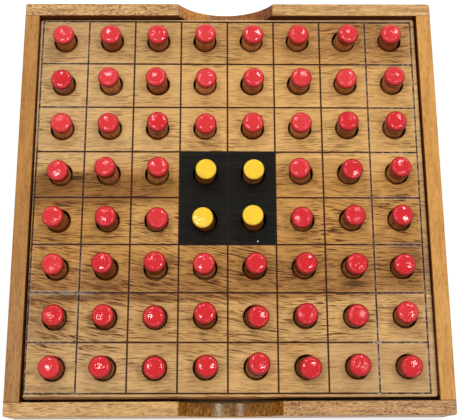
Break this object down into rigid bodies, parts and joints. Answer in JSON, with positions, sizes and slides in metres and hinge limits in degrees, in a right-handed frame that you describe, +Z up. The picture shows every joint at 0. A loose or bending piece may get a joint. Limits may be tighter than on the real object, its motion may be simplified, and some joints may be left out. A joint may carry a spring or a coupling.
{
  "type": "peg board game",
  "caption": "Square wooden tray with finger notches, a loose scored board inside it, and a loose round peg with painted ends standing in a hole in every square.",
  "frame": {"origin": "middle of the tray's underside", "axes": "+X to the player's right, +Y away from the player to the rear, +Z up"},
  "size_m": [0.2204, 0.2202, 0.0305],
  "materials": {
    "base_plywood": "bare thin plywood, straight grain, pale laminations at its edge",
    "end_rail_wood": "satin oiled hardwood, short dark pores, grain along the rail",
    "side_rail_wood": "satin oiled hardwood, orange brown, grain along the rail",
    "board_wood": "satin tan hardwood with open pores, dark scored lines and a black painted middle square",
    "red_tipped_peg": "bare wooden dowel, the upper end dipped in gloss red paint",
    "yellow_tipped_peg": "bare wooden dowel, the upper end dipped in gloss yellow paint",
    "brad_steel": "plain bright steel"
  },
  "bodies": {
    "tray": {"base_panel": "base_plywood", "front_rail": "end_rail_wood", "rear_rail": "end_rail_wood", "left_rail": "side_rail_wood", "right_rail": "side_rail_wood", "corner_brads": "brad_steel", "base_brads": "brad_steel"},
    "board": {"board": "board_wood"},
    "front_edge_pegs": {"front_edge_pegs": "red_tipped_peg"},
    "left_edge_pegs": {"left_edge_pegs": "red_tipped_peg"},
    "peg_a1": {"peg_a1": "red_tipped_peg"},
    "peg_a2": {"peg_a2": "red_tipped_peg"},
    "peg_a7": {"peg_a7": "red_tipped_peg"},
    "peg_a8": {"peg_a8": "red_tipped_peg"},
    "peg_b1": {"peg_b1": "red_tipped_peg"},
    "peg_b2": {"peg_b2": "red_tipped_peg"},
    "peg_b3": {"peg_b3": "red_tipped_peg"},
    "peg_b4": {"peg_b4": "red_tipped_peg"},
    "peg_b5": {"peg_b5": "red_tipped_peg"},
    "peg_b6": {"peg_b6": "red_tipped_peg"},
    "peg_b7": {"peg_b7": "red_tipped_peg"},
    "peg_b8": {"peg_b8": "red_tipped_peg"},
    "peg_c2": {"peg_c2": "red_tipped_peg"},
    "peg_c3": {"peg_c3": "red_tipped_peg"},
    "peg_c4": {"peg_c4": "red_tipped_peg"},
    "peg_c5": {"peg_c5": "red_tipped_peg"},
    "peg_c6": {"peg_c6": "red_tipped_peg"},
    "peg_c7": {"peg_c7": "red_tipped_peg"},
    "peg_d2": {"peg_d2": "red_tipped_peg"},
    "peg_d3": {"peg_d3": "red_tipped_peg"},
    "peg_d4": {"peg_d4": "yellow_tipped_peg"},
    "peg_d5": {"peg_d5": "yellow_tipped_peg"},
    "peg_d6": {"peg_d6": "red_tipped_peg"},
    "peg_d7": {"peg_d7": "red_tipped_peg"},
    "peg_e2": {"peg_e2": "red_tipped_peg"},
    "peg_e3": {"peg_e3": "red_tipped_peg"},
    "peg_e4": {"peg_e4": "yellow_tipped_peg"},
    "peg_e5": {"peg_e5": "yellow_tipped_peg"},
    "peg_e6": {"peg_e6": "red_tipped_peg"},
    "peg_e7": {"peg_e7": "red_tipped_peg"},
    "peg_f2": {"peg_f2": "red_tipped_peg"},
    "peg_f3": {"peg_f3": "red_tipped_peg"},
    "peg_f4": {"peg_f4": "red_tipped_peg"},
    "peg_f5": {"peg_f5": "red_tipped_peg"},
    "peg_f6": {"peg_f6": "red_tipped_peg"},
    "peg_f7": {"peg_f7": "red_tipped_peg"},
    "peg_g1": {"peg_g1": "red_tipped_peg"},
    "peg_g2": {"peg_g2": "red_tipped_peg"},
    "peg_g3": {"peg_g3": "red_tipped_peg"},
    "peg_g4": {"peg_g4": "red_tipped_peg"},
    "peg_g5": {"peg_g5": "red_tipped_peg"},
    "peg_g6": {"peg_g6": "red_tipped_peg"},
    "peg_g7": {"peg_g7": "red_tipped_peg"},
    "peg_g8": {"peg_g8": "red_tipped_peg"},
    "peg_h1": {"peg_h1": "red_tipped_peg"},
    "peg_h2": {"peg_h2": "red_tipped_peg"},
    "peg_h7": {"peg_h7": "red_tipped_peg"},
    "peg_h8": {"peg_h8": "red_tipped_peg"},
    "rear_edge_pegs": {"rear_edge_pegs": "red_tipped_peg"},
    "right_edge_pegs": {"right_edge_pegs": "red_tipped_peg"}
  },
  "joints": [
    {"name": "board_lift", "type": "slide", "parent": "tray", "child": "board", "axis": [0, 0, 1], "range_m": [0, 0.04]},
    {"name": "front_edge_pegs_lift", "type": "slide", "parent": "board", "child": "front_edge_pegs", "axis": [0, 0, 1], "range_m": [0, 0.02]},
    {"name": "left_edge_pegs_lift", "type": "slide", "parent": "board", "child": "left_edge_pegs", "axis": [0, 0, 1], "range_m": [0, 0.02]},
    {"name": "peg_a1_lift", "type": "slide", "parent": "board", "child": "peg_a1", "axis": [0, 0, 1], "range_m": [0, 0.02]},
    {"name": "peg_a2_lift", "type": "slide", "parent": "board", "child": "peg_a2", "axis": [0, 0, 1], "range_m": [0, 0.02]},
    {"name": "peg_a7_lift", "type": "slide", "parent": "board", "child": "peg_a7", "axis": [0, 0, 1], "range_m": [0, 0.02]},
    {"name": "peg_a8_lift", "type": "slide", "parent": "board", "child": "peg_a8", "axis": [0, 0, 1], "range_m": [0, 0.02]},
    {"name": "peg_b1_lift", "type": "slide", "parent": "board", "child": "peg_b1", "axis": [0, 0, 1], "range_m": [0, 0.02]},
    {"name": "peg_b2_lift", "type": "slide", "parent": "board", "child": "peg_b2", "axis": [0, 0, 1], "range_m": [0, 0.02]},
    {"name": "peg_b3_lift", "type": "slide", "parent": "board", "child": "peg_b3", "axis": [0, 0, 1], "range_m": [0, 0.02]},
    {"name": "peg_b4_lift", "type": "slide", "parent": "board", "child": "peg_b4", "axis": [0, 0, 1], "range_m": [0, 0.02]},
    {"name": "peg_b5_lift", "type": "slide", "parent": "board", "child": "peg_b5", "axis": [0, 0, 1], "range_m": [0, 0.02]},
    {"name": "peg_b6_lift", "type": "slide", "parent": "board", "child": "peg_b6", "axis": [0, 0, 1], "range_m": [0, 0.02]},
    {"name": "peg_b7_lift", "type": "slide", "parent": "board", "child": "peg_b7", "axis": [0, 0, 1], "range_m": [0, 0.02]},
    {"name": "peg_b8_lift", "type": "slide", "parent": "board", "child": "peg_b8", "axis": [0, 0, 1], "range_m": [0, 0.02]},
    {"name": "peg_c2_lift", "type": "slide", "parent": "board", "child": "peg_c2", "axis": [0, 0, 1], "range_m": [0, 0.02]},
    {"name": "peg_c3_lift", "type": "slide", "parent": "board", "child": "peg_c3", "axis": [0, 0, 1], "range_m": [0, 0.02]},
    {"name": "peg_c4_lift", "type": "slide", "parent": "board", "child": "peg_c4", "axis": [0, 0, 1], "range_m": [0, 0.02]},
    {"name": "peg_c5_lift", "type": "slide", "parent": "board", "child": "peg_c5", "axis": [0, 0, 1], "range_m": [0, 0.02]},
    {"name": "peg_c6_lift", "type": "slide", "parent": "board", "child": "peg_c6", "axis": [0, 0, 1], "range_m": [0, 0.02]},
    {"name": "peg_c7_lift", "type": "slide", "parent": "board", "child": "peg_c7", "axis": [0, 0, 1], "range_m": [0, 0.02]},
    {"name": "peg_d2_lift", "type": "slide", "parent": "board", "child": "peg_d2", "axis": [0, 0, 1], "range_m": [0, 0.02]},
    {"name": "peg_d3_lift", "type": "slide", "parent": "board", "child": "peg_d3", "axis": [0, 0, 1], "range_m": [0, 0.02]},
    {"name": "peg_d4_lift", "type": "slide", "parent": "board", "child": "peg_d4", "axis": [0, 0, 1], "range_m": [0, 0.02]},
    {"name": "peg_d5_lift", "type": "slide", "parent": "board", "child": "peg_d5", "axis": [0, 0, 1], "range_m": [0, 0.02]},
    {"name": "peg_d6_lift", "type": "slide", "parent": "board", "child": "peg_d6", "axis": [0, 0, 1], "range_m": [0, 0.02]},
    {"name": "peg_d7_lift", "type": "slide", "parent": "board", "child": "peg_d7", "axis": [0, 0, 1], "range_m": [0, 0.02]},
    {"name": "peg_e2_lift", "type": "slide", "parent": "board", "child": "peg_e2", "axis": [0, 0, 1], "range_m": [0, 0.02]},
    {"name": "peg_e3_lift", "type": "slide", "parent": "board", "child": "peg_e3", "axis": [0, 0, 1], "range_m": [0, 0.02]},
    {"name": "peg_e4_lift", "type": "slide", "parent": "board", "child": "peg_e4", "axis": [0, 0, 1], "range_m": [0, 0.02]},
    {"name": "peg_e5_lift", "type": "slide", "parent": "board", "child": "peg_e5", "axis": [0, 0, 1], "range_m": [0, 0.02]},
    {"name": "peg_e6_lift", "type": "slide", "parent": "board", "child": "peg_e6", "axis": [0, 0, 1], "range_m": [0, 0.02]},
    {"name": "peg_e7_lift", "type": "slide", "parent": "board", "child": "peg_e7", "axis": [0, 0, 1], "range_m": [0, 0.02]},
    {"name": "peg_f2_lift", "type": "slide", "parent": "board", "child": "peg_f2", "axis": [0, 0, 1], "range_m": [0, 0.02]},
    {"name": "peg_f3_lift", "type": "slide", "parent": "board", "child": "peg_f3", "axis": [0, 0, 1], "range_m": [0, 0.02]},
    {"name": "peg_f4_lift", "type": "slide", "parent": "board", "child": "peg_f4", "axis": [0, 0, 1], "range_m": [0, 0.02]},
    {"name": "peg_f5_lift", "type": "slide", "parent": "board", "child": "peg_f5", "axis": [0, 0, 1], "range_m": [0, 0.02]},
    {"name": "peg_f6_lift", "type": "slide", "parent": "board", "child": "peg_f6", "axis": [0, 0, 1], "range_m": [0, 0.02]},
    {"name": "peg_f7_lift", "type": "slide", "parent": "board", "child": "peg_f7", "axis": [0, 0, 1], "range_m": [0, 0.02]},
    {"name": "peg_g1_lift", "type": "slide", "parent": "board", "child": "peg_g1", "axis": [0, 0, 1], "range_m": [0, 0.02]},
    {"name": "peg_g2_lift", "type": "slide", "parent": "board", "child": "peg_g2", "axis": [0, 0, 1], "range_m": [0, 0.02]},
    {"name": "peg_g3_lift", "type": "slide", "parent": "board", "child": "peg_g3", "axis": [0, 0, 1], "range_m": [0, 0.02]},
    {"name": "peg_g4_lift", "type": "slide", "parent": "board", "child": "peg_g4", "axis": [0, 0, 1], "range_m": [0, 0.02]},
    {"name": "peg_g5_lift", "type": "slide", "parent": "board", "child": "peg_g5", "axis": [0, 0, 1], "range_m": [0, 0.02]},
    {"name": "peg_g6_lift", "type": "slide", "parent": "board", "child": "peg_g6", "axis": [0, 0, 1], "range_m": [0, 0.02]},
    {"name": "peg_g7_lift", "type": "slide", "parent": "board", "child": "peg_g7", "axis": [0, 0, 1], "range_m": [0, 0.02]},
    {"name": "peg_g8_lift", "type": "slide", "parent": "board", "child": "peg_g8", "axis": [0, 0, 1], "range_m": [0, 0.02]},
    {"name": "peg_h1_lift", "type": "slide", "parent": "board", "child": "peg_h1", "axis": [0, 0, 1], "range_m": [0, 0.02]},
    {"name": "peg_h2_lift", "type": "slide", "parent": "board", "child": "peg_h2", "axis": [0, 0, 1], "range_m": [0, 0.02]},
    {"name": "peg_h7_lift", "type": "slide", "parent": "board", "child": "peg_h7", "axis": [0, 0, 1], "range_m": [0, 0.02]},
    {"name": "peg_h8_lift", "type": "slide", "parent": "board", "child": "peg_h8", "axis": [0, 0, 1], "range_m": [0, 0.02]},
    {"name": "rear_edge_pegs_lift", "type": "slide", "parent": "board", "child": "rear_edge_pegs", "axis": [0, 0, 1], "range_m": [0, 0.02]},
    {"name": "right_edge_pegs_lift", "type": "slide", "parent": "board", "child": "right_edge_pegs", "axis": [0, 0, 1], "range_m": [0, 0.02]}
  ]
}
